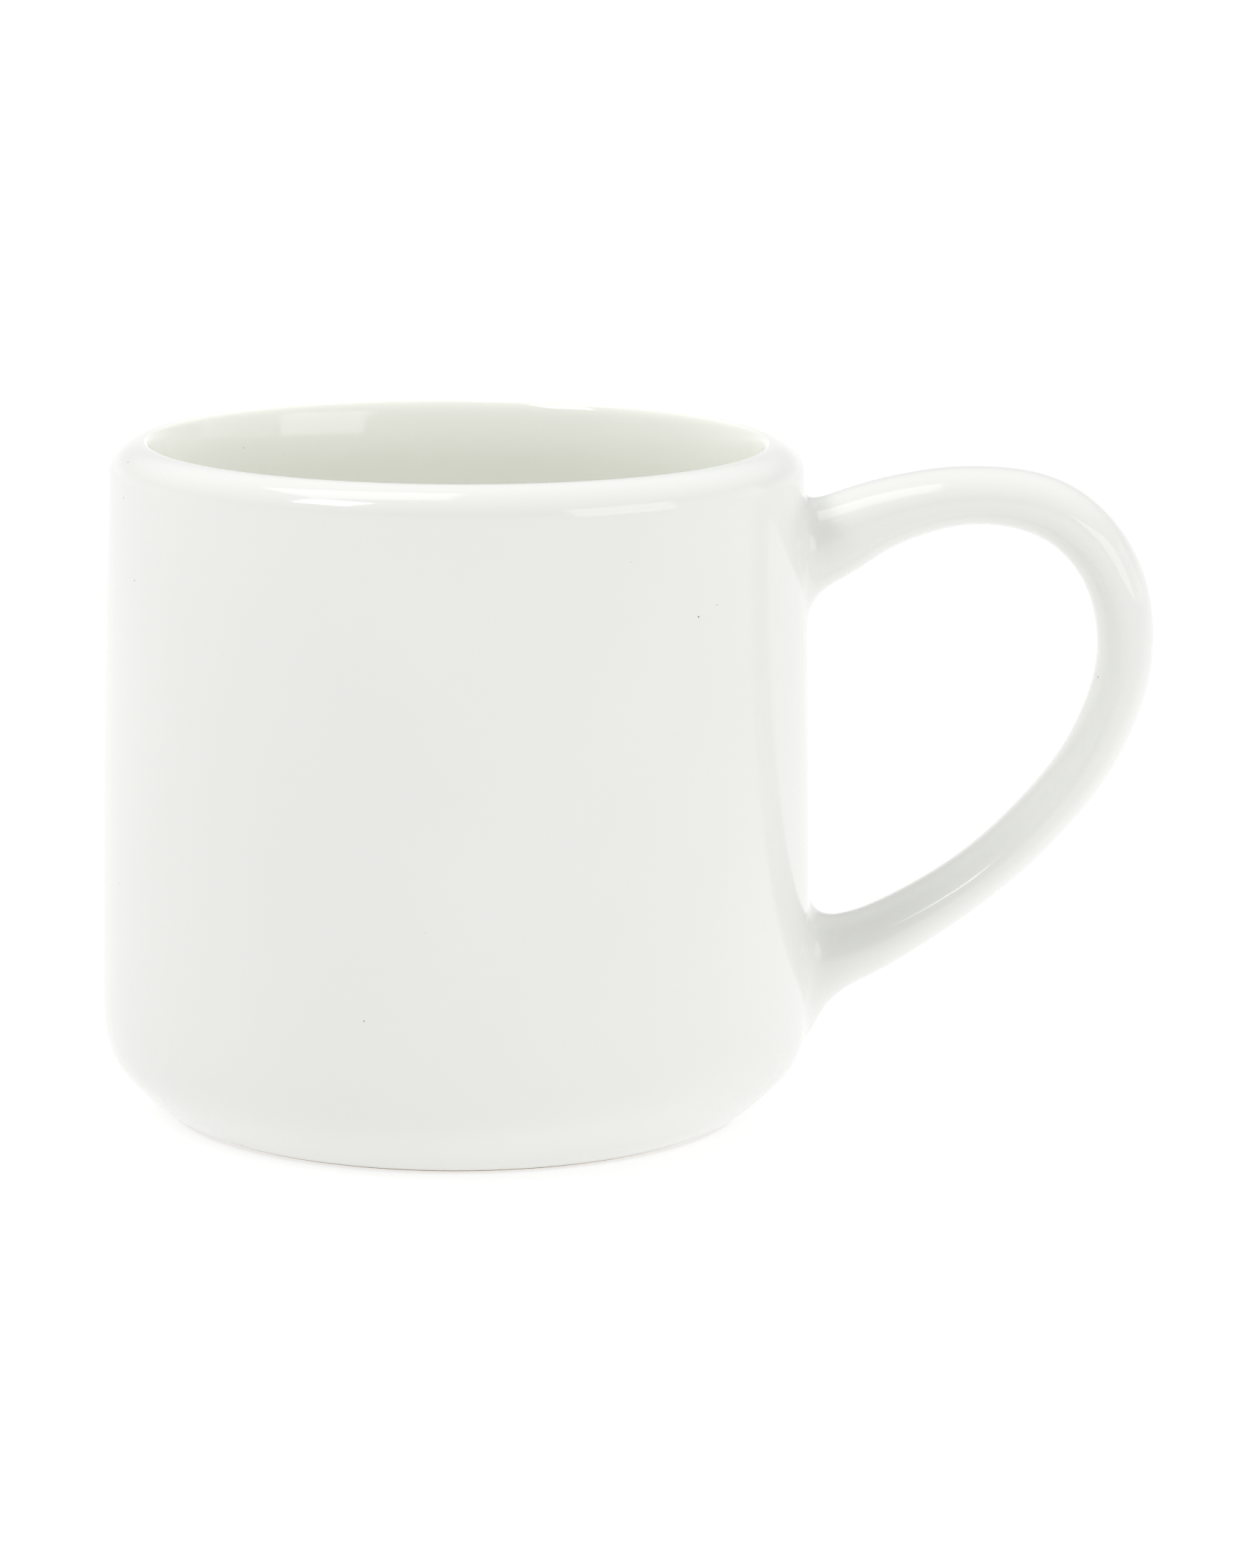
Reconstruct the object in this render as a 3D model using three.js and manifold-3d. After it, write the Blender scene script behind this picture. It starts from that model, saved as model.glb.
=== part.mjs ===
// A glazed stoneware mug: a thrown cup, a strap handle stuck on with slip, and the glaze over them.
// Millimetres, +Z up. The origin is on the cup's axis, in the plane the foot ring stands on,
// and the handle points along +X.

import * as THREE from 'three';
import { mergeVertices } from 'three/addons/utils/BufferGeometryUtils.js';
import { LoftGeometry } from 'three/addons/geometries/LoftGeometry.js';
import Module from 'manifold-3d';

const wasm = await Module();
wasm.setup();

// Driving dimensions of the cup, measured on the glazed surface.
const height = 90.9;
const bellyRadius = 47.95;
const rimRadius = 46.45;
const wallThickness = 5.55;
const floorThickness = 6.5;

// The heel, where the wall turns in under the cup, in two bends that meet at the heel point.
const footRadius = 37.5;
const footRingWidth = 3.9;
const heelRadius = 45.8;
const heelHeight = 6.5;
const lowerBendRadius = 40.9;
const lowerBendHeight = 0.9;
const upperBendHeight = 9.2;
const bellyHeight = 15;

// The inside, a flat floor that turns up into the wall.
const insideRadius = bellyRadius - wallThickness;
const flatFloorRadius = 29;
const cornerHeight = 22;
const cornerEase = 0.5;

// The lip, a broad roll outside and a narrow one inside that eases a long way down the wall.
const lipTopRadius = 41.7;
const lipDrop = 4.05;
const innerLipWidth = 1.6;
const innerLipDrop = 7.5;

// The recess inside the foot ring.
const recessDepth = 0.8;

// Glaze, the bond line under it, and the seam that a cut piece keeps to its neighbour.
const glaze = 0.5;
const bond = 0.1;
const seam = 0.3;
const clay = glaze + bond;

// How far along the heel curve the clay is wiped bare, and where the glaze begins.
const bareFoot = 0.1;
const glazeLine = 0.16;

// The strap handle, oval in section: waypoints of its middle line as [x, z, thickness], wall to wall.
const strapWidth = 14;
const strapWaypoints = [
  [44.5, 75, 12.2],
  [49.5, 77.5, 11.4],
  [57.1, 81.2, 9.3],
  [68.8, 83.7, 7.8],
  [80.3, 81.6, 8.2],
  [87.7, 74.1, 8],
  [90.1, 62, 7.5],
  [86.1, 49.3, 7.2],
  [78.2, 38.8, 7.1],
  [68.5, 30.2, 7.1],
  [55.9, 22.6, 8.6],
  [51.6, 21.1, 9.8],
  [45, 19, 11.4],
];

// The two slip joints: the place along the strap where each begins, and its oval footprint on the
// wall, given by its width and the heights where the strap's outer and inner faces run out.
const upperJoint = { start: 0.075, outer: 84.6, inner: 64.8, width: 21 };
const lowerJoint = { start: 0.925, outer: 5.2, inner: 30.4, width: 21 };
const filletPull = 0.5;
const jointDepth = 1.5;

// Two short steps for finding which way a surface runs: along the strap, and in from the edge of
// a footprint, as a share of each.
const strapProbe = 0.004;
const footprintProbe = 0.1;

// Fineness of the faceted surfaces.
const turnSegments = 48;
const heelSteps = 3;
const wallSteps = 4;
const lipSteps = 5;
const cornerSteps = 4;
const insideWallSteps = 3;
const innerLipSteps = 6;
const strapSteps = 34;
const jointSteps = 5;
const ringPoints = 18;

// ---- outlines of revolution, as [radius, z] points ------------------------------------------

const lipCentreZ = height - lipDrop;
const innerRadius = lipTopRadius - innerLipWidth;

const heelLower = new THREE.QuadraticBezierCurve(
  new THREE.Vector2(footRadius, 0),
  new THREE.Vector2(lowerBendRadius, lowerBendHeight),
  new THREE.Vector2(heelRadius, heelHeight),
);
const heelUpper = new THREE.QuadraticBezierCurve(
  new THREE.Vector2(heelRadius, heelHeight),
  new THREE.Vector2(bellyRadius, upperBendHeight),
  new THREE.Vector2(bellyRadius, bellyHeight),
);
const wallOutside = new THREE.QuadraticBezierCurve(
  new THREE.Vector2(bellyRadius, bellyHeight),
  new THREE.Vector2(bellyRadius, height / 2),
  new THREE.Vector2(rimRadius, lipCentreZ),
);
const lipOutside = new THREE.EllipseCurve(
  lipTopRadius, lipCentreZ, rimRadius - lipTopRadius, lipDrop, 0, Math.PI / 2,
);

const cornerInside = new THREE.QuadraticBezierCurve(
  new THREE.Vector2(flatFloorRadius, floorThickness),
  new THREE.Vector2(insideRadius - cornerEase, floorThickness + cornerEase),
  new THREE.Vector2(insideRadius, cornerHeight),
);
const wallInside = new THREE.QuadraticBezierCurve(
  new THREE.Vector2(insideRadius, cornerHeight),
  new THREE.Vector2(insideRadius, height / 2),
  new THREE.Vector2(innerRadius, height - innerLipDrop),
);
const lipInside = new THREE.EllipseCurve(
  lipTopRadius, height - innerLipDrop, innerLipWidth, innerLipDrop, Math.PI, Math.PI / 2, true,
);

// The points of a chain of [curve, steps, place to start from], without repeating the point that
// two curves share.
function chain(pieces) {
  const points = [];
  for (const [curve, steps, from = 0] of pieces) {
    for (let i = points.length ? 1 : 0; i <= steps; i++) {
      points.push(curve.getPoint(from + (1 - from) * i / steps));
    }
  }
  return points;
}

// The outline moved sideways: a positive distance moves it to the left of its direction.
function offset(points, distance) {
  return points.map((point, i) => {
    const before = points[Math.max(i - 1, 0)];
    const after = points[Math.min(i + 1, points.length - 1)];
    const along = after.clone().sub(before).normalize();
    return new THREE.Vector2(point.x - along.y * distance, point.y + along.x * distance);
  });
}

// The lip ends level, so its last point moves straight down whatever the facets do.
function levelEnd(points, distance) {
  points[points.length - 1].set(lipTopRadius, height - distance);
  return points;
}

// Outside of the cup, from a place on the heel up to the top of the lip, inset into the wall.
function outside(inset, from = 0) {
  const surface = chain([
    [heelLower, heelSteps, from],
    [heelUpper, heelSteps],
    [wallOutside, wallSteps],
    [lipOutside, lipSteps],
  ]);
  return inset ? levelEnd(offset(surface, inset), inset) : surface;
}

// Inside of the cup, from the middle of the floor up to the top of the lip, inset into the wall.
function inside(inset) {
  const surface = chain([
    [cornerInside, cornerSteps],
    [wallInside, insideWallSteps],
    [lipInside, innerLipSteps],
  ]);
  const moved = inset ? levelEnd(offset(surface, -inset), inset) : surface;
  return [new THREE.Vector2(0, moved[0].y), ...moved];
}

function turned(points) {
  return new THREE.LatheGeometry(points, turnSegments).rotateX(Math.PI / 2);
}

// ---- solids for cutting and joining ---------------------------------------------------------

function toSolid(geometry) {
  const bare = new THREE.BufferGeometry().copy(geometry);
  bare.deleteAttribute('normal');
  bare.deleteAttribute('uv');
  const merged = mergeVertices(bare, 1e-4);
  const index = merged.index.array;
  const corners = [];
  for (let i = 0; i < index.length; i += 3) {
    const [a, b, c] = [index[i], index[i + 1], index[i + 2]];
    if (a !== b && b !== c && c !== a) corners.push(a, b, c);
  }
  return new wasm.Manifold(new wasm.Mesh({
    numProp: 3,
    vertProperties: new Float32Array(merged.attributes.position.array),
    triVerts: new Uint32Array(corners),
  }));
}

function toGeometry(solid) {
  const mesh = solid.getMesh();
  const geometry = new THREE.BufferGeometry();
  geometry.setAttribute('position', new THREE.BufferAttribute(mesh.vertProperties, 3));
  geometry.setIndex(new THREE.BufferAttribute(mesh.triVerts, 1));
  geometry.computeVertexNormals();
  return geometry;
}

// Everything within the outside of the cup, as one plug for cutting the handle to the wall.
function cupPlug(inset) {
  const wall = outside(inset);
  const foot = new THREE.Vector2(0, wall[0].y);
  const crown = new THREE.Vector2(0, wall[wall.length - 1].y);
  return toSolid(turned([foot, ...wall, crown]));
}

// ---- the strap handle -----------------------------------------------------------------------

// The y of this curve carries the strap's thickness along its route in the XZ plane.
const strapRoute = new THREE.CatmullRomCurve3(
  strapWaypoints.map(([x, z, thickness]) => new THREE.Vector3(x, thickness, z)),
);

// The angles at which every oval is divided, so that the strap's ovals match the footprints.
const ringAngles = [];
for (let i = 0; i < ringPoints; i++) ringAngles.push(-2 * Math.PI * i / ringPoints);

// One cross-section of the strap: an oval square to the route, starting at its outer face.
function strapRing(place, inset) {
  const { x, y: thickness, z } = strapRoute.getPointAt(place);
  const along = strapRoute.getTangentAt(place).setY(0).normalize();
  const outward = new THREE.Vector3(-along.z, 0, along.x);
  return ringAngles.map((angle) => {
    const reach = (strapWidth / 2 - inset) * Math.sin(angle);
    const rise = (thickness / 2 - inset) * Math.cos(angle);
    return new THREE.Vector3(x, reach, z).addScaledVector(outward, rise);
  });
}

// The sections from one joint to the other, both ends included.
function strapRings(inset) {
  const rings = [];
  for (let i = 0; i <= strapSteps; i++) {
    const place = THREE.MathUtils.lerp(upperJoint.start, lowerJoint.start, i / strapSteps);
    rings.push(strapRing(place, inset));
  }
  return rings;
}

function loft(rings) {
  return toSolid(new LoftGeometry(rings, { capStart: true, capEnd: true }));
}

// The bare strap, running straight on from each joint into the wall.
function strap(inset) {
  return loft([strapRing(0, inset), ...strapRings(inset), strapRing(1, inset)]);
}

// ---- the slip joints ------------------------------------------------------------------------

// Radius of the cup's outside at a height, inset into the wall.
function wallRadius(z, inset) {
  const wall = outside(inset);
  const above = wall.findIndex((point) => point.y > z);
  const [low, high] = [wall[above - 1], wall[above]];
  return THREE.MathUtils.mapLinear(z, low.y, high.y, low.x, high.x);
}

// A point on an oval footprint on the cup's outside. Scale 1 is the footprint's edge.
function onFootprint({ outer, inner, width }, angle, scale, inset, depth = 0) {
  const z = (outer + inner) / 2 + scale * (outer - inner) / 2 * Math.cos(angle);
  const radius = wallRadius(z, inset);
  const turn = scale * width / 2 * Math.sin(angle) / radius;
  return new THREE.Vector3(Math.cos(turn), Math.sin(turn), 0).multiplyScalar(radius - depth).setZ(z);
}

// Sections from the strap to the wall and a little way into it. Each line along them leaves the
// strap on the strap's own surface and runs out flat on the wall, so the joint is a smooth fillet.
function jointRings(place, inset) {
  const leaving = strapRing(place.start, inset);
  const towardsMiddle = place === upperJoint ? strapProbe : -strapProbe;
  const before = strapRing(place.start + towardsMiddle, inset);
  const lines = ringAngles.map((angle, i) => {
    const landing = onFootprint(place, angle, 1, inset);
    const further = onFootprint(place, angle, 1 - footprintProbe, inset);
    const pull = leaving[i].distanceTo(landing) * filletPull;
    const along = leaving[i].clone().sub(before[i]).setLength(pull);
    const flat = further.sub(landing).setLength(pull);
    return new THREE.CubicBezierCurve3(
      leaving[i], leaving[i].clone().add(along), landing.clone().add(flat), landing,
    );
  });
  const rings = [];
  for (let step = 0; step <= jointSteps; step++) {
    rings.push(lines.map((line) => line.getPoint(step / jointSteps)));
  }
  rings.push(ringAngles.map((angle) => onFootprint(place, angle, 1, inset, jointDepth)));
  return rings;
}

// The handle and both its joints in one skin, as the glaze follows them.
function handleSkin(inset) {
  const middle = strapRings(inset).slice(1, -1);
  return loft([...jointRings(upperJoint, inset).reverse(), ...middle, ...jointRings(lowerJoint, inset)]);
}

// ---- the pieces -----------------------------------------------------------------------------

const ringOutside = heelLower.getPoint(bareFoot);
const ringInside = footRadius - footRingWidth;

function cupBody() {
  const clayRecess = recessDepth + clay;
  const outer = outside(clay, bareFoot);
  const inner = inside(clay).reverse().slice(1);
  return turned([
    new THREE.Vector2(0, clayRecess),
    new THREE.Vector2(ringInside - clayRecess, clayRecess),
    new THREE.Vector2(ringInside, 0),
    new THREE.Vector2(footRadius, 0),
    ringOutside,
    ...outer,
    ...inner,
  ]);
}

// The two coats meet on top of the lip, each half a bond line away from the other.
function partAtLip(points, side) {
  points[points.length - 1].x += side * bond / 2;
}

function linerGlaze() {
  const shown = inside(0);
  const hidden = inside(glaze);
  partAtLip(shown, -1);
  partAtLip(hidden, -1);
  return turned([...hidden, ...shown.reverse()]);
}

function baseGlaze() {
  const edge = ringInside - recessDepth - clay - seam;
  return turned([
    new THREE.Vector2(0, recessDepth),
    new THREE.Vector2(edge - glaze, recessDepth),
    new THREE.Vector2(edge, recessDepth + glaze),
    new THREE.Vector2(0, recessDepth + glaze),
  ]);
}

// The coat over the wall, both joints and the handle, open at the lip and round the foot.
function outerGlaze() {
  const shown = outside(0, glazeLine);
  const hidden = outside(glaze, glazeLine);
  partAtLip(shown, 1);
  partAtLip(hidden, 1);
  const wallCoat = toSolid(turned([...shown, ...hidden.reverse(), shown[0]]));
  const handleCoat = handleSkin(0).subtract(cupPlug(glaze / 2));
  return toGeometry(wallCoat.add(handleCoat).subtract(handleSkin(glaze)));
}

function handle() {
  return toGeometry(strap(clay).subtract(cupPlug(clay - seam)));
}

// A ring of slip round one end of the strap.
function slipJoint(place) {
  const rings = jointRings(place, clay);
  if (place === upperJoint) rings.reverse();
  const slip = loft(rings).subtract(strap(clay - seam));
  return toGeometry(slip.subtract(cupPlug(clay - seam)));
}

const mug = new THREE.Group();

function addPiece(name, geometry, color, roughness) {
  const material = new THREE.MeshStandardMaterial({ color, roughness, metalness: 0 });
  const piece = new THREE.Mesh(geometry, material);
  piece.name = name;
  mug.add(piece);
}

addPiece('cup_body', cupBody(), 0xd9d0c0, 0.85);
addPiece('handle', handle(), 0xd9d0c0, 0.85);
addPiece('upper_slip_joint', slipJoint(upperJoint), 0xd5cbb9, 0.85);
addPiece('lower_slip_joint', slipJoint(lowerJoint), 0xd5cbb9, 0.85);
addPiece('outer_glaze', outerGlaze(), 0xe9eae4, 0.15);
addPiece('liner_glaze', linerGlaze(), 0xe6e7dc, 0.15);
addPiece('base_glaze', baseGlaze(), 0xe9eae4, 0.15);

export default mug;
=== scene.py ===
"""A glazed stoneware mug: smooth coats of glaze over its clay parts, on a pale studio floor.

Metres, in the frame of the CAD: +Z up, the cup's axis at the origin, the handle towards +X.
"""

import math

import bpy
import numpy as np
from mathutils import Matrix, Vector


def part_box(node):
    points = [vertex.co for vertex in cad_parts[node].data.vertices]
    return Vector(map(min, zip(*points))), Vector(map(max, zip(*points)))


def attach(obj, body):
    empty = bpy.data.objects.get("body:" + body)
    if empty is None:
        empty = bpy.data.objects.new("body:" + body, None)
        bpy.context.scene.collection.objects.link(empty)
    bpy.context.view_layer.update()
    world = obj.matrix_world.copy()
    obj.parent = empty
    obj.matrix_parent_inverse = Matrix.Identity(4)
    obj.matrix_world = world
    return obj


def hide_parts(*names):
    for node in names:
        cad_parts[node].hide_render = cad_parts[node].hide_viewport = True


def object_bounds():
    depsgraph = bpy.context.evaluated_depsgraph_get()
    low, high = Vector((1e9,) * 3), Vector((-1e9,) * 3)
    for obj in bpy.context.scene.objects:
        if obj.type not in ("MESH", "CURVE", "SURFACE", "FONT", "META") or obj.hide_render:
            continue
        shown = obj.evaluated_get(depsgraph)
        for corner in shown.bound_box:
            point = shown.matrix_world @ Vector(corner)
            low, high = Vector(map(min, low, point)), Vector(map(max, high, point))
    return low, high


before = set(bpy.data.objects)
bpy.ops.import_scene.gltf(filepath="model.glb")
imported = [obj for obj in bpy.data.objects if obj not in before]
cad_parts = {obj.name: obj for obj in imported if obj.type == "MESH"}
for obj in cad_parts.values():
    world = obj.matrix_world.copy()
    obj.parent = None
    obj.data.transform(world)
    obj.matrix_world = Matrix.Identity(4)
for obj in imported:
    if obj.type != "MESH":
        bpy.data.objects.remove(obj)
cad_low, cad_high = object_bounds()
MM = 0.001

# ---- sizes, from the frame ------------------------------------------------------------------

coat_low, coat_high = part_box("outer_glaze")
liner_low, liner_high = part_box("liner_glaze")
base_low, base_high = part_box("base_glaze")

HEIGHT = coat_high.z
BELLY_RADIUS = -coat_low.x
GLAZE = base_high.z - base_low.z
RECESS = base_low.z
INSIDE_RADIUS = liner_high.x - GLAZE
FLOOR_TOP = liner_low.z + GLAZE
CLAY_INSET = GLAZE + 0.1 * MM

# The lip, a broad roll outside and a narrow one inside that eases a long way down the wall. They
# meet on a level ring at the top.
RIM_RADIUS = BELLY_RADIUS - 1.5 * MM
LIP_TOP_RADIUS = BELLY_RADIUS - 6.25 * MM
LIP_DROP = 4.05 * MM
INNER_LIP_WIDTH = 1.6 * MM
INNER_LIP_DROP = 7.5 * MM
LEVEL_RING = 0.04 * MM
LIP_FOOT = HEIGHT - LIP_DROP
INNER_LIP_FOOT = HEIGHT - INNER_LIP_DROP

# The heel, where the wall turns in to the foot ring.
FOOT_RADIUS = BELLY_RADIUS - 10.45 * MM
RING_INSIDE = FOOT_RADIUS - 3.9 * MM
HEEL_RADIUS = BELLY_RADIUS - 2.15 * MM
HEEL_HEIGHT = 6.5 * MM
BELLY_HEIGHT = 15 * MM
LOWER_BEND = (FOOT_RADIUS + 3.4 * MM, 0.9 * MM)
UPPER_BEND = (BELLY_RADIUS, HEEL_HEIGHT + 2.7 * MM)

# Shares of the heel's lower curve: where the clay leaves the outside surface to go in under the
# glaze, and where the glaze begins, wiped off below.
BARE_FOOT = 0.1
GLAZE_LINE = 0.16

# The inside corner, between the flat floor and the wall.
FLAT_FLOOR_RADIUS = 29 * MM
CORNER_HEIGHT = 22 * MM
CORNER_EASE = 0.5 * MM

# The strap handle, oval in section: waypoints of its middle line as x, z and thickness, and the
# distance over which sudden changes in its bending are spread out.
STRAP_WIDTH = 14 * MM
STRAP_WAYPOINTS = MM * np.array([
    (44.5, 75, 12.2),
    (49.5, 77.5, 11.4),
    (57.1, 81.2, 9.3),
    (68.8, 83.7, 7.8),
    (80.3, 81.6, 8.2),
    (87.7, 74.1, 8),
    (90.1, 62, 7.5),
    (86.1, 49.3, 7.2),
    (78.2, 38.8, 7.1),
    (68.5, 30.2, 7.1),
    (55.9, 22.6, 8.6),
    (51.6, 21.1, 9.8),
    (45, 19, 11.4),
])
STRAP_EVENING = 3 * MM

# Each joint: where the strap ends along its line, the heights where its outer and inner faces run
# out on the wall, and the outer and inner height of the window that the joint fills in the wall.
UPPER_JOINT = {
    "start": 0.075,
    "outer": 84.6 * MM,
    "inner": 64.8 * MM,
    "window": (86.6 * MM, 62.4 * MM),
}
LOWER_JOINT = {
    "start": 0.925,
    "outer": 5.2 * MM,
    "inner": 30.4 * MM,
    "window": (3.4 * MM, 33 * MM),
}
JOINT_WIDTH = 21 * MM
FILLET_PULL = 0.5

# ---- fineness of the meshes -----------------------------------------------------------------

CURVE_STEPS = 400
SHARP_FROM = 40

# Faces round the cup, faces across and up each joint's window in it, and points round a window.
COLUMNS = 144
WINDOW_COLUMNS = 12
WINDOW_ROWS = 20
RING_POINTS = 2 * (WINDOW_COLUMNS + WINDOW_ROWS)

# Other rows of faces: up the wall, then from a window's edge to the footprint of its joint, along a
# joint, and along the strap.
HEEL_ROWS = 10
MIDDLE_ROWS = 16
NECK_ROWS = 1
LIP_ROWS = 14
SPREAD_ROWS = 4
JOINT_ROWS = 20
STRAP_ROWS = 120

# Spacing of the rows of the liner and the clay, on their walls and closer on their lips.
WALL_PITCH = 1.8 * MM
LINER_LIP_PITCH = 0.25 * MM
CLAY_INNER_LIP_PITCH = 0.3 * MM
CLAY_OUTER_LIP_PITCH = 0.5 * MM

# Rows of faces on the bare outside of the clay's foot.
FOOT_ROWS = 5


# ---- curves ---------------------------------------------------------------------------------

def bend(start, control, end, begin=0.0):
    """Points of a quadratic curve from its share `begin` to its end."""
    t = np.linspace(begin, 1, CURVE_STEPS + 1)[:, None]
    return (1 - t) ** 2 * np.array(start) + 2 * t * (1 - t) * np.array(control) + t**2 * np.array(end)


def quarter(centre, radii, first, last):
    """Points of an elliptical arc between two angles in degrees."""
    angle = np.radians(np.linspace(first, last, CURVE_STEPS + 1))
    return np.array(centre) + np.stack([radii[0] * np.cos(angle), radii[1] * np.sin(angle)], axis=1)


def joined(*curves):
    """One line through several curves, without repeating the points that they share."""
    return np.concatenate([curves[0], *[curve[1:] for curve in curves[1:]]])


def lengths_along(points):
    """The distance from the first point to each, along the line."""
    steps = np.linalg.norm(np.diff(points, axis=0), axis=1)
    return np.concatenate([[0], np.cumsum(steps)])


def at_lengths(points, wanted):
    """Points at the wanted distances along a line."""
    along = lengths_along(points)
    return np.stack([np.interp(wanted, along, column) for column in points.T], axis=1)


def offset(points, distance):
    """The line moved to the left of its direction."""
    along = np.gradient(points, axis=0)
    along /= np.linalg.norm(along, axis=1, keepdims=True)
    return points + distance * np.stack([-along[:, 1], along[:, 0]], axis=1)


def heel_curve(begin=0.0):
    """The lower curve of the heel as radius and height, from the foot ring up."""
    return bend((FOOT_RADIUS, 0), LOWER_BEND, (HEEL_RADIUS, HEEL_HEIGHT), begin)


def outside_line(begin):
    """The outside of the cup, from a share of the heel's lower curve to the level ring on the lip."""
    return joined(
        heel_curve(begin),
        bend((HEEL_RADIUS, HEEL_HEIGHT), UPPER_BEND, (BELLY_RADIUS, BELLY_HEIGHT)),
        bend((BELLY_RADIUS, BELLY_HEIGHT), (BELLY_RADIUS, HEIGHT / 2), (RIM_RADIUS, LIP_FOOT)),
        quarter((LIP_TOP_RADIUS, LIP_FOOT), (RIM_RADIUS - LIP_TOP_RADIUS, LIP_DROP), 0, 90),
    )


def inside_line():
    """The inside of the cup, from the edge of the flat floor to the level ring on the lip."""
    corner = (INSIDE_RADIUS - CORNER_EASE, FLOOR_TOP + CORNER_EASE)
    corner_top = (INSIDE_RADIUS, CORNER_HEIGHT)
    lip_inside = LIP_TOP_RADIUS - INNER_LIP_WIDTH
    return joined(
        bend((FLAT_FLOOR_RADIUS, FLOOR_TOP), corner, corner_top),
        bend(corner_top, (INSIDE_RADIUS, HEIGHT / 2), (lip_inside, INNER_LIP_FOOT)),
        quarter((LIP_TOP_RADIUS, INNER_LIP_FOOT), (INNER_LIP_WIDTH, INNER_LIP_DROP), 180, 90),
    )


def thinned(line, tight_pitch, tight_from):
    """The line with fewer points: WALL_PITCH for its plain part and a closer pitch past a height."""
    along = lengths_along(line)
    turn = along[np.argmax(line[:, 1] >= tight_from)]
    plain = np.linspace(0, turn, round(turn / WALL_PITCH) + 1)
    tight = np.linspace(turn, along[-1], round((along[-1] - turn) / tight_pitch) + 1)
    return at_lengths(line, np.concatenate([plain, tight[1:]]))


# ---- meshes ---------------------------------------------------------------------------------

def piece(name, points, faces, material, nodes):
    """A smooth-shaded object of the mug that stands for some CAD nodes."""
    mesh = bpy.data.meshes.new(name)
    mesh.from_pydata([tuple(p) for p in points], [], [tuple(f) for f in faces])
    mesh.materials.append(material)
    mesh.polygons.foreach_set("use_smooth", [True] * len(mesh.polygons))
    mesh.set_sharp_from_angle(angle=math.radians(SHARP_FROM))
    made = bpy.data.objects.new(name, mesh)
    bpy.context.scene.collection.objects.link(made)
    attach(made, "root")
    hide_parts(*nodes)
    return made


def circle(radius, z):
    """Points round the cup's axis, one for each column, starting towards the handle."""
    turn = 2 * math.pi * np.arange(COLUMNS) / COLUMNS
    return np.stack([radius * np.cos(turn), radius * np.sin(turn), np.full(COLUMNS, z)], axis=1)


def turned(outline):
    """Points and faces of an outline of radius and height, turned about the cup's axis.

    The outline starts and ends on the axis, which closes the surface. There a quad has two corners
    in one place, and becomes a triangle.
    """
    points = []
    rings = []
    for radius, z in outline:
        first = len(points)
        if radius == 0:
            points.append((0, 0, z))
            rings.append([first] * COLUMNS)
        else:
            points.extend(circle(radius, z))
            rings.append(list(range(first, first + COLUMNS)))
    faces = []
    for below, above in zip(rings, rings[1:]):
        for i in range(COLUMNS):
            j = (i + 1) % COLUMNS
            corners = [below[i], below[j], above[j], above[i]]
            faces.append(list(dict.fromkeys(corners)))
    return points, faces


def shell(points, faces, thickness):
    """A closed coat: a surface of quads, the same surface further in, and the edges between them."""
    corners = points[faces]
    crosses = np.cross(corners[:, 2] - corners[:, 0], corners[:, 3] - corners[:, 1])
    normals = np.zeros_like(points)
    for corner in range(4):
        np.add.at(normals, faces[:, corner], crosses)
    normals /= np.linalg.norm(normals, axis=1, keepdims=True)
    under = points - thickness * normals
    edges = {tuple(edge) for face in faces for edge in zip(face, np.roll(face, -1))}
    rim = [(a, b) for a, b in edges if (b, a) not in edges]
    count = len(points)
    walls = sorted((b, a, a + count, b + count) for a, b in rim)
    return np.concatenate([points, under]), [*faces, *(faces[:, ::-1] + count), *walls]


# ---- the strap and its joints ---------------------------------------------------------------

def curve_through(waypoints):
    """The CAD's curve through the waypoints: each stretch leaves and arrives by its neighbours."""
    first = 2 * waypoints[0] - waypoints[1]
    last = 2 * waypoints[-1] - waypoints[-2]
    knots = np.concatenate([[first], waypoints, [last]])
    t = np.linspace(0, 1, CURVE_STEPS + 1)[:, None]
    stretches = []
    for before, start, end, after in zip(knots, knots[1:], knots[2:], knots[3:]):
        gap_before, gap, gap_after = (
            math.sqrt(np.linalg.norm(b - a)) for a, b in ((before, start), (start, end), (end, after))
        )
        leave = end - start + gap * ((start - before) / gap_before - (end - before) / (gap_before + gap))
        arrive = end - start + gap * ((after - end) / gap_after - (after - start) / (gap + gap_after))
        square = 3 * (end - start) - 2 * leave - arrive
        cube = leave + arrive - 2 * (end - start)
        stretches.append(start + leave * t + square * t**2 + cube * t**3)
    return joined(*stretches)


def evened(line, spread):
    """The line with sudden changes in its bending spread out, and its even bends left in place.

    It is blurred over a bell curve `spread` wide, and what a second blur would take off its bends
    is put back.
    """
    steps = 3000
    length = lengths_along(line)[-1]
    points = at_lengths(line, np.linspace(0, length, steps + 1))
    reach = round(3 * spread / length * steps)
    weights = np.exp(-0.5 * (np.arange(-reach, reach + 1) * length / steps / spread) ** 2)
    weights /= weights.sum()

    def blurred(values):
        before = 2 * values[0] - values[reach:0:-1]
        after = 2 * values[-1] - values[-2:-reach - 2:-1]
        padded = np.concatenate([before, values, after])
        return np.stack([np.convolve(column, weights, "valid") for column in padded.T], axis=1)

    once = blurred(points)
    return 2 * once - blurred(once)


STRAP_LINE = evened(curve_through(STRAP_WAYPOINTS), STRAP_EVENING)
STRAP_LENGTH = lengths_along(STRAP_LINE)[-1]
RING_ANGLES = 2 * math.pi * np.arange(RING_POINTS) / RING_POINTS
WALL_LINE = outside_line(GLAZE_LINE)


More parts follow.
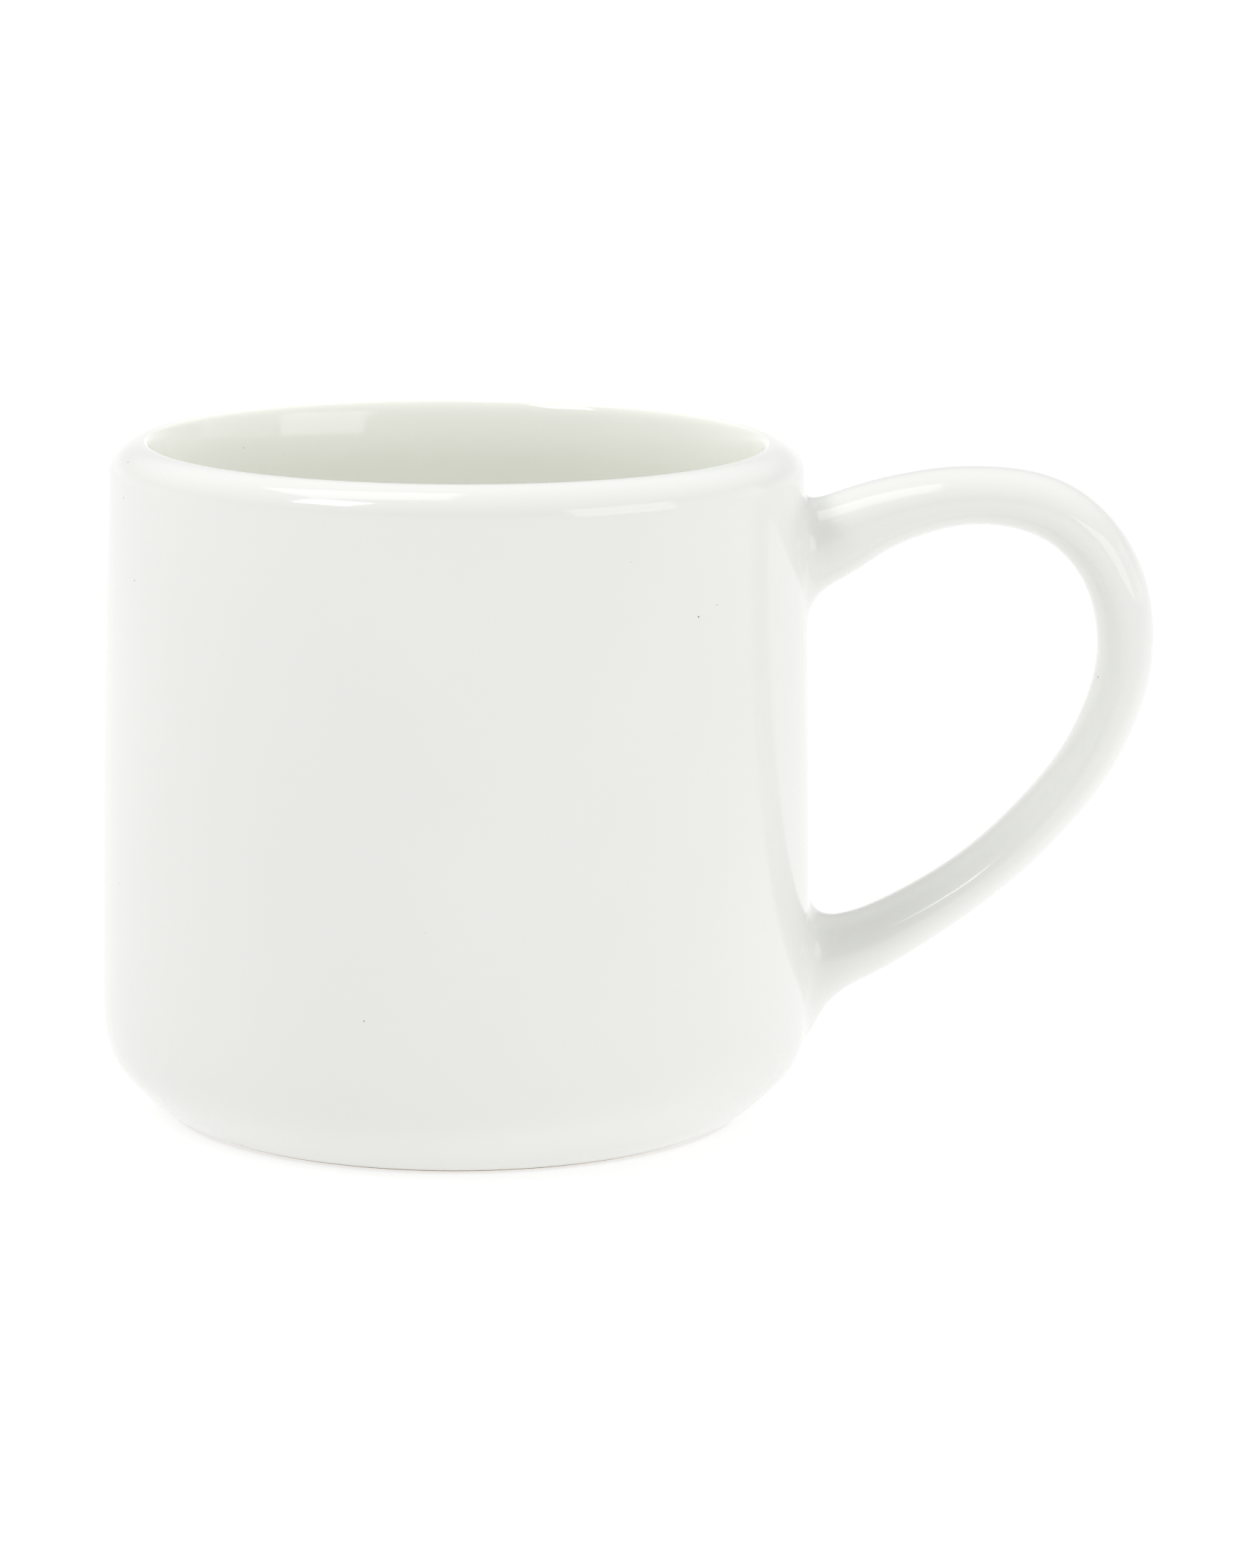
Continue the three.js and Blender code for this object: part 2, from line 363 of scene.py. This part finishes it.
def strap_ring(place):
    """An oval section of the strap at a share of its length, starting at the strap's outer face."""
    near = 0.002
    x, z, thickness = at_lengths(STRAP_LINE, [place * STRAP_LENGTH])[0]
    ends = at_lengths(STRAP_LINE, [(place - near) * STRAP_LENGTH, (place + near) * STRAP_LENGTH])
    along = (ends[1] - ends[0])[:2]
    along /= np.linalg.norm(along)
    rise = thickness / 2 * np.cos(RING_ANGLES)
    reach = STRAP_WIDTH / 2 * np.sin(RING_ANGLES)
    return np.stack([x - along[1] * rise, reach, z + along[0] * rise], axis=1)


def on_wall(z, turn):
    """Points on the outside of the cup at heights and angles about its axis."""
    radius = np.interp(z, WALL_LINE[:, 1], WALL_LINE[:, 0])
    return np.stack([radius * np.cos(turn), radius * np.sin(turn), z], axis=1)


def footprint(joint, scale=1.0):
    """Heights and angles of the oval where a joint lands on the wall."""
    middle = (joint["outer"] + joint["inner"]) / 2
    z = middle + scale * (joint["outer"] - joint["inner"]) / 2 * np.cos(RING_ANGLES)
    radius = np.interp(z, WALL_LINE[:, 1], WALL_LINE[:, 0])
    return z, scale * JOINT_WIDTH / 2 * np.sin(RING_ANGLES) / radius


def joint_rings(joint):
    """Rings from the strap to the wall, on lines that leave one and land flat on the other.

    Each line is a cubic curve. It sets off along the strap, and it arrives along the wall, from the
    side of a smaller oval inside the footprint.
    """
    towards_middle = math.copysign(0.004, 0.5 - joint["start"])
    smaller = 0.9
    leaving = strap_ring(joint["start"])
    landing = on_wall(*footprint(joint))
    along = leaving - strap_ring(joint["start"] + towards_middle)
    flat = on_wall(*footprint(joint, smaller)) - landing
    pull = FILLET_PULL * np.linalg.norm(landing - leaving, axis=1, keepdims=True)
    leave_by = leaving + pull * along / np.linalg.norm(along, axis=1, keepdims=True)
    land_by = landing + pull * flat / np.linalg.norm(flat, axis=1, keepdims=True)
    rings = []
    for t in np.linspace(0, 1, JOINT_ROWS + 1):
        s = 1 - t
        rings.append(s**3 * leaving + 3 * s * s * t * leave_by + 3 * s * t * t * land_by + t**3 * landing)
    return rings


# ---- the outside coat, one skin over the wall, both joints and the handle -------------------

def wall_rows():
    """Radii and heights of the wall's rows, with WINDOW_ROWS of faces up each joint's window."""
    along = lengths_along(WALL_LINE)
    heights = [*sorted(LOWER_JOINT["window"]), *sorted(UPPER_JOINT["window"]), LIP_FOOT]
    stops = [along[0], *[np.interp(z, WALL_LINE[:, 1], along) for z in heights], along[-1]]
    counts = [HEEL_ROWS, WINDOW_ROWS, MIDDLE_ROWS, WINDOW_ROWS, NECK_ROWS, LIP_ROWS]
    places = [stops[0]]
    for start, stop, count in zip(stops, stops[1:], counts):
        places.extend(np.linspace(start, stop, count + 1)[1:])
    level_ring = [(LIP_TOP_RADIUS + LEVEL_RING, HEIGHT), (LIP_TOP_RADIUS, HEIGHT)]
    return np.concatenate([at_lengths(WALL_LINE, places)[:-1], level_ring])


def vertex(row, column):
    """The number of a point of the wall's grid."""
    return row * COLUMNS + column % COLUMNS


def window_sides(rows, joint):
    """The rows at the outer and the inner side of a joint's window."""
    return [int(np.argmin(abs(rows[:, 1] - z))) for z in joint["window"]]


def window_edge(outer, inner):
    """Rows and columns round a window, from the middle of its outer side and on by +Y."""
    half = WINDOW_COLUMNS // 2
    step = 1 if inner > outer else -1
    return [
        *[(outer, column) for column in range(0, half)],
        *[(row, half) for row in range(outer, inner, step)],
        *[(inner, column) for column in range(half, -half, -1)],
        *[(row, -half) for row in range(inner, outer, -step)],
        *[(outer, column) for column in range(-half, 0)],
    ]


def wall_faces(row_count, windows):
    """The quads of the wall's grid, without those in the windows."""
    faces = []
    for row in range(row_count - 1):
        beside_window = any(min(sides) <= row < max(sides) for sides in windows)
        for column in range(COLUMNS):
            under_handle = (column + WINDOW_COLUMNS // 2) % COLUMNS < WINDOW_COLUMNS
            if beside_window and under_handle:
                continue
            faces.append([
                vertex(row, column),
                vertex(row, column + 1),
                vertex(row + 1, column + 1),
                vertex(row + 1, column),
            ])
    return faces


def spread_rings(joint, rows, edge):
    """Rings on the wall, from just inside a window's edge to the joint's footprint."""
    edge_z = np.array([rows[row][1] for row, column in edge])
    edge_turn = np.array([2 * math.pi * column / COLUMNS for row, column in edge])
    z, turn = footprint(joint)
    rings = []
    for share in np.linspace(0, 1, SPREAD_ROWS + 1)[1:]:
        rings.append(on_wall(edge_z + share * (z - edge_z), edge_turn + share * (turn - edge_turn)))
    return rings


def to_the_reach(points):
    """The points with the handle drawn in by a hair, so that it reaches as far as the frame says."""
    beyond = points[:, 0] > BELLY_RADIUS
    share = (cad_high.x - BELLY_RADIUS) / (points[:, 0].max() - BELLY_RADIUS)
    points[beyond, 0] = BELLY_RADIUS + share * (points[beyond, 0] - BELLY_RADIUS)
    return points


def outer_skin():
    """Points and quads of the outside coat: the wall, and rings from window to window by the handle."""
    rows = wall_rows()
    upper = window_sides(rows, UPPER_JOINT)
    lower = window_sides(rows, LOWER_JOINT)
    upper_edge = window_edge(*upper)
    lower_edge = window_edge(*lower)
    strap_places = np.linspace(UPPER_JOINT["start"], LOWER_JOINT["start"], STRAP_ROWS + 1)[1:-1]
    rings = [
        *spread_rings(UPPER_JOINT, rows, upper_edge),
        *joint_rings(UPPER_JOINT)[-2::-1],
        *[strap_ring(place) for place in strap_places],
        *joint_rings(LOWER_JOINT)[:-1],
        *spread_rings(LOWER_JOINT, rows, lower_edge)[::-1],
    ]
    points = np.concatenate([*[circle(radius, z) for radius, z in rows], *rings])
    ring_numbers = len(rows) * COLUMNS + np.arange(len(rings) * RING_POINTS).reshape(-1, RING_POINTS)
    chain = [
        [vertex(row, column) for row, column in upper_edge],
        *ring_numbers,
        [vertex(row, column) for row, column in lower_edge],
    ]
    faces = wall_faces(len(rows), [upper, lower])
    for ring, following in zip(chain, chain[1:]):
        for i in range(RING_POINTS):
            j = (i + 1) % RING_POINTS
            faces.append([ring[j], ring[i], following[i], following[j]])
    used, faces = np.unique(np.array(faces), return_inverse=True)
    return to_the_reach(points[used]), faces.reshape(-1, 4)


# ---- materials ------------------------------------------------------------------------------

OUTER_WHITE = (0.805, 0.812, 0.783)
# The inside coat is the same white glaze as the outer coat, painted lighter and a touch greener to
# brighten the shaded inside of the cup: painted light.
LINER_WHITE_PAINTED_LIGHTER = (0.94, 0.95, 0.89)
IRON = (0.05, 0.035, 0.025)
CLAY = (0.56, 0.47, 0.36)
SLIP = (0.52, 0.43, 0.32)

# How fine each pattern is, in features to the metre.
CLOUDS = 22
SPECKS = 143
RIPPLES = 55
GRAINS = 1800


def new_material(name, colour, roughness):
    """A new material, its node tree, its shader and a coordinate source in metres."""
    made = bpy.data.materials.new(name)
    made.use_nodes = True
    tree = made.node_tree
    shader = tree.nodes["Principled BSDF"]
    shader.inputs["Base Color"].default_value = (*colour, 1)
    shader.inputs["Roughness"].default_value = roughness
    place = tree.nodes.new("ShaderNodeTexCoord").outputs["Object"]
    return made, tree, shader, place


def noise(tree, place, scale, detail=2.0):
    """A cloudy pattern of values about a half."""
    node = tree.nodes.new("ShaderNodeTexNoise")
    node.inputs["Scale"].default_value = scale
    node.inputs["Detail"].default_value = detail
    tree.links.new(place, node.inputs["Vector"])
    return node.outputs["Fac"]


def ramp(tree, value, stops):
    """A colour ramp through (position, colour) stops."""
    node = tree.nodes.new("ShaderNodeValToRGB")
    elements = node.color_ramp.elements
    for element, (position, colour) in zip(elements, stops):
        element.position = position
        element.color = (*colour, 1)
    tree.links.new(value, node.inputs["Fac"])
    return node.outputs["Color"]


def bump(tree, shader, height, strength, distance):
    """Small relief from a pattern, up to a distance in metres."""
    node = tree.nodes.new("ShaderNodeBump")
    node.inputs["Strength"].default_value = strength
    node.inputs["Distance"].default_value = distance
    tree.links.new(height, node.inputs["Height"])
    tree.links.new(node.outputs["Normal"], shader.inputs["Normal"])


def glaze_material(name, colour):
    """Glossy white glaze: faint clouding, a slow ripple, and a few iron specks under the surface."""
    made, tree, shader, place = new_material(name, colour, roughness=0.09)
    shader.inputs["IOR"].default_value = 1.5
    deeper = tuple(0.975 * c for c in colour)
    clouds = ramp(tree, noise(tree, place, CLOUDS), [(0.3, deeper), (0.7, colour)])

    # A speck is the small disc about the middle of a cell.
    cells = tree.nodes.new("ShaderNodeTexVoronoi")
    cells.inputs["Scale"].default_value = SPECKS
    tree.links.new(place, cells.inputs["Vector"])
    speck = ramp(tree, cells.outputs["Distance"], [(0.012, (1, 1, 1)), (0.022, (0, 0, 0))])

    mix = tree.nodes.new("ShaderNodeMix")
    mix.data_type = "RGBA"
    tree.links.new(speck, mix.inputs["Factor"])
    tree.links.new(clouds, mix.inputs["A"])
    mix.inputs["B"].default_value = (*IRON, 1)
    tree.links.new(mix.outputs["Result"], shader.inputs["Base Color"])
    bump(tree, shader, noise(tree, place, RIPPLES), strength=0.25, distance=0.12 * MM)
    return made


def clay_material(name, colour):
    """Bare fired stoneware: matt, warm and gritty."""
    made, tree, shader, place = new_material(name, colour, roughness=0.85)
    grain = noise(tree, place, GRAINS, detail=4)
    darker = tuple(0.72 * c for c in colour)
    shade = ramp(tree, grain, [(0.35, darker), (0.65, colour)])
    tree.links.new(shade, shader.inputs["Base Color"])
    bump(tree, shader, grain, strength=0.6, distance=0.15 * MM)
    return made


outer_white = glaze_material("outer_glaze_white", OUTER_WHITE)
# The liner's glaze is painted lighter than the outer coat's, as painted light inside the cup.
liner_white_painted_lighter = glaze_material("liner_glaze_painted_lighter", LINER_WHITE_PAINTED_LIGHTER)
base_white = glaze_material("base_glaze_white", OUTER_WHITE)
cup_clay = clay_material("bare_cup_clay", CLAY)
handle_clay = clay_material("bare_handle_clay", CLAY)
slip_clay = clay_material("slip_clay", SLIP)


# ---- pieces ---------------------------------------------------------------------------------

def make_outer_glaze():
    """The outside coat, from the lip to the wiped foot, over the wall, the joints and the handle."""
    points, faces = outer_skin()
    points, faces = shell(points, faces, GLAZE)
    piece("mug_outer_glaze", points, faces, outer_white, ["outer_glaze"])


def make_liner():
    """The coat inside the cup, up to the top of the lip, where its cut edge is upright."""
    line = thinned(inside_line(), LINER_LIP_PITCH, INNER_LIP_FOOT)
    line = np.concatenate([line[:-1], [(LIP_TOP_RADIUS - LEVEL_RING, HEIGHT), (LIP_TOP_RADIUS, HEIGHT)]])
    hidden = offset(line, -GLAZE)
    hidden[-1] = LIP_TOP_RADIUS, HEIGHT - GLAZE
    outline = [(0, FLOOR_TOP - GLAZE), *hidden, *line[::-1], (0, FLOOR_TOP)]
    points, faces = turned(outline)
    piece("mug_liner_glaze", points, faces, liner_white_painted_lighter, ["liner_glaze"])


def make_cup_body():
    """The clay cup: bare on its foot ring, and under the glaze everywhere else."""
    bare_step = round(BARE_FOOT * CURVE_STEPS / FOOT_ROWS)
    bare = heel_curve()[:FOOT_ROWS * bare_step + 1:bare_step]
    outer = thinned(offset(outside_line(BARE_FOOT), CLAY_INSET), CLAY_OUTER_LIP_PITCH, LIP_FOOT)
    inner = thinned(offset(inside_line(), -CLAY_INSET), CLAY_INNER_LIP_PITCH, INNER_LIP_FOOT)
    recess = RECESS + CLAY_INSET
    outline = [
        (0, recess),
        (RING_INSIDE - recess, recess),
        (RING_INSIDE, 0),
        *bare,
        *outer,
        *inner[::-1],
        (0, inner[0][1]),
    ]
    points, faces = turned(outline)
    piece("mug_cup_body", points, faces, cup_clay, ["cup_body"])


def make_base_glaze():
    """The disc of glaze in the recess inside the foot ring."""
    edge = base_high.x
    outline = [
        (0, RECESS),
        (edge - GLAZE, RECESS),
        (edge, base_high.z),
        (0, base_high.z),
    ]
    points, faces = turned(outline)
    piece("mug_base_glaze", points, faces, base_white, ["base_glaze"])


def dress(node, made):
    """Gives a better material to a CAD node that stays."""
    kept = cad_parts[node]
    for place in kept.material_slots:
        place.material = made


make_outer_glaze()
make_liner()
make_cup_body()
make_base_glaze()
dress("handle", handle_clay)
dress("upper_slip_joint", slip_clay)
dress("lower_slip_joint", slip_clay)


# ---- the studio -----------------------------------------------------------------------------

# The camera: where it stands, its turns in degrees, and its lens and sensor in millimetres.
CAMERA_PLACE = (0, -0.77807, 0.19726)
CAMERA_YAW = 1.7008
CAMERA_PITCH = 11.132
CAMERA_ROLL = 0.449
LENS = 134.72
SENSOR = 36

# The pale floor. It gives off light of its own, as if it were lit from all round.
FLOOR_REACH = 6
FLOOR_GREY = 0.4
FLOOR_UNEVENNESS = 0.005
FLOOR_GLOW = 0.67

# Brightness of the surround at the horizon and overhead, before the glow is added, and what it is
# multiplied by straight in front of the mug and straight behind it.
HORIZON = 0.42
ZENITH = 1.2
FRONT_SHARE = 0.52
BACK_SHARE = 1.1

# A glow along the horizon, as of a studio sweep rising from the floor, and the sine of the angle
# above the horizon where it fades out.
GLOW = 0.6
GLOW_HEIGHT = 0.3

# The point high inside the cup that the softboxes face, and each one's name, place, width and
# height, and radiance.
LIT_POINT = (0, 0, 0.08)
SOFTBOXES = [
    ("key_left", (-0.48, -0.38, 0.74), (0.28, 0.28), 6.6),
    ("key_right", (0.74, -0.5, 0.33), (0.62, 0.42), 1.8),
    ("overhead", (-0.22, 0.02, 0.85), (0.45, 0.45), 1.8),
    ("card_right", (0.9, 0.12, 0.27), (0.7, 0.32), 0.5),
]


def make_camera():
    """A long lens, a little above the mug and looking slightly down on it."""
    data = bpy.data.cameras.new("camera")
    data.sensor_width = SENSOR
    data.lens = LENS
    data.clip_start = 0.01
    data.clip_end = 50
    camera = bpy.data.objects.new("camera", data)
    yaw, pitch, roll = (math.radians(a) for a in (CAMERA_YAW, CAMERA_PITCH, CAMERA_ROLL))
    aim = Matrix.Rotation(-yaw, 4, "Z") @ Matrix.Rotation(math.pi / 2 - pitch, 4, "X")
    camera.matrix_world = Matrix.Translation(CAMERA_PLACE) @ aim @ Matrix.Rotation(roll, 4, "Z")
    bpy.context.scene.collection.objects.link(camera)
    bpy.context.scene.camera = camera


def make_softbox(name, place, size, radiance):
    """A flat soft light that faces the mug and isn't seen by the camera itself."""
    data = bpy.data.lights.new(name, "AREA")
    data.shape = "RECTANGLE"
    data.size, data.size_y = size
    data.energy = radiance * math.pi * size[0] * size[1]
    light = bpy.data.objects.new(name, data)
    facing = Vector(LIT_POINT) - Vector(place)
    light.rotation_mode = "QUATERNION"
    light.location = place
    light.rotation_quaternion = facing.to_track_quat("-Z", "Y")
    light.visible_camera = False
    bpy.context.scene.collection.objects.link(light)


def make_floor():
    """A wide, matt, nearly even floor under the mug."""
    reach = FLOOR_REACH
    corners = [(-reach, -reach, 0), (reach, -reach, 0), (reach, reach, 0), (-reach, reach, 0)]
    mesh = bpy.data.meshes.new("floor")
    mesh.from_pydata(corners, [], [(0, 1, 2, 3)])
    darker = [FLOOR_GREY - FLOOR_UNEVENNESS] * 3
    paler = [FLOOR_GREY + FLOOR_UNEVENNESS] * 3
    pale, tree, shader, place = new_material("pale_floor", [FLOOR_GREY] * 3, roughness=0.7)
    shade = ramp(tree, noise(tree, place, scale=3), [(0.3, darker), (0.7, paler)])
    tree.links.new(shade, shader.inputs["Base Color"])
    shader.inputs["Specular IOR Level"].default_value = 0.1
    shader.inputs["Emission Color"].default_value = (1, 1, 1, 1)
    shader.inputs["Emission Strength"].default_value = FLOOR_GLOW
    mesh.materials.append(pale)
    floor = bpy.data.objects.new("floor", mesh)
    bpy.context.scene.collection.objects.link(floor)


def make_world():
    """A soft surround: bright overhead, dimmer lower down and in front, and a glow on the horizon."""
    world = bpy.data.worlds.new("studio")
    world.use_nodes = True
    tree = world.node_tree
    split = tree.nodes.new("ShaderNodeSeparateXYZ")
    tree.links.new(tree.nodes.new("ShaderNodeTexCoord").outputs["Generated"], split.inputs["Vector"])

    def graded(axis, value_from, value_to, low, high):
        node = tree.nodes.new("ShaderNodeMapRange")
        node.interpolation_type = "SMOOTHSTEP"
        node.inputs["From Min"].default_value = value_from
        node.inputs["From Max"].default_value = value_to
        node.inputs["To Min"].default_value = low
        node.inputs["To Max"].default_value = high
        tree.links.new(split.outputs[axis], node.inputs["Value"])
        return node.outputs["Result"]

    def combined(operation, first, second):
        node = tree.nodes.new("ShaderNodeMath")
        node.operation = operation
        tree.links.new(first, node.inputs[0])
        tree.links.new(second, node.inputs[1])
        return node.outputs["Value"]

    by_height = graded("Z", -0.1, 1, HORIZON, ZENITH)
    by_side = graded("Y", -1, 1, FRONT_SHARE, BACK_SHARE)
    glow = graded("Z", 0, GLOW_HEIGHT, GLOW, 0)
    strength = combined("ADD", combined("MULTIPLY", by_height, by_side), glow)
    background = tree.nodes["Background"]
    background.inputs["Color"].default_value = (1, 1, 1, 1)
    tree.links.new(strength, background.inputs["Strength"])
    bpy.context.scene.world = world


make_camera()
make_floor()
make_world()
for softbox in SOFTBOXES:
    make_softbox(*softbox)
bpy.context.scene.view_settings.view_transform = "Standard"
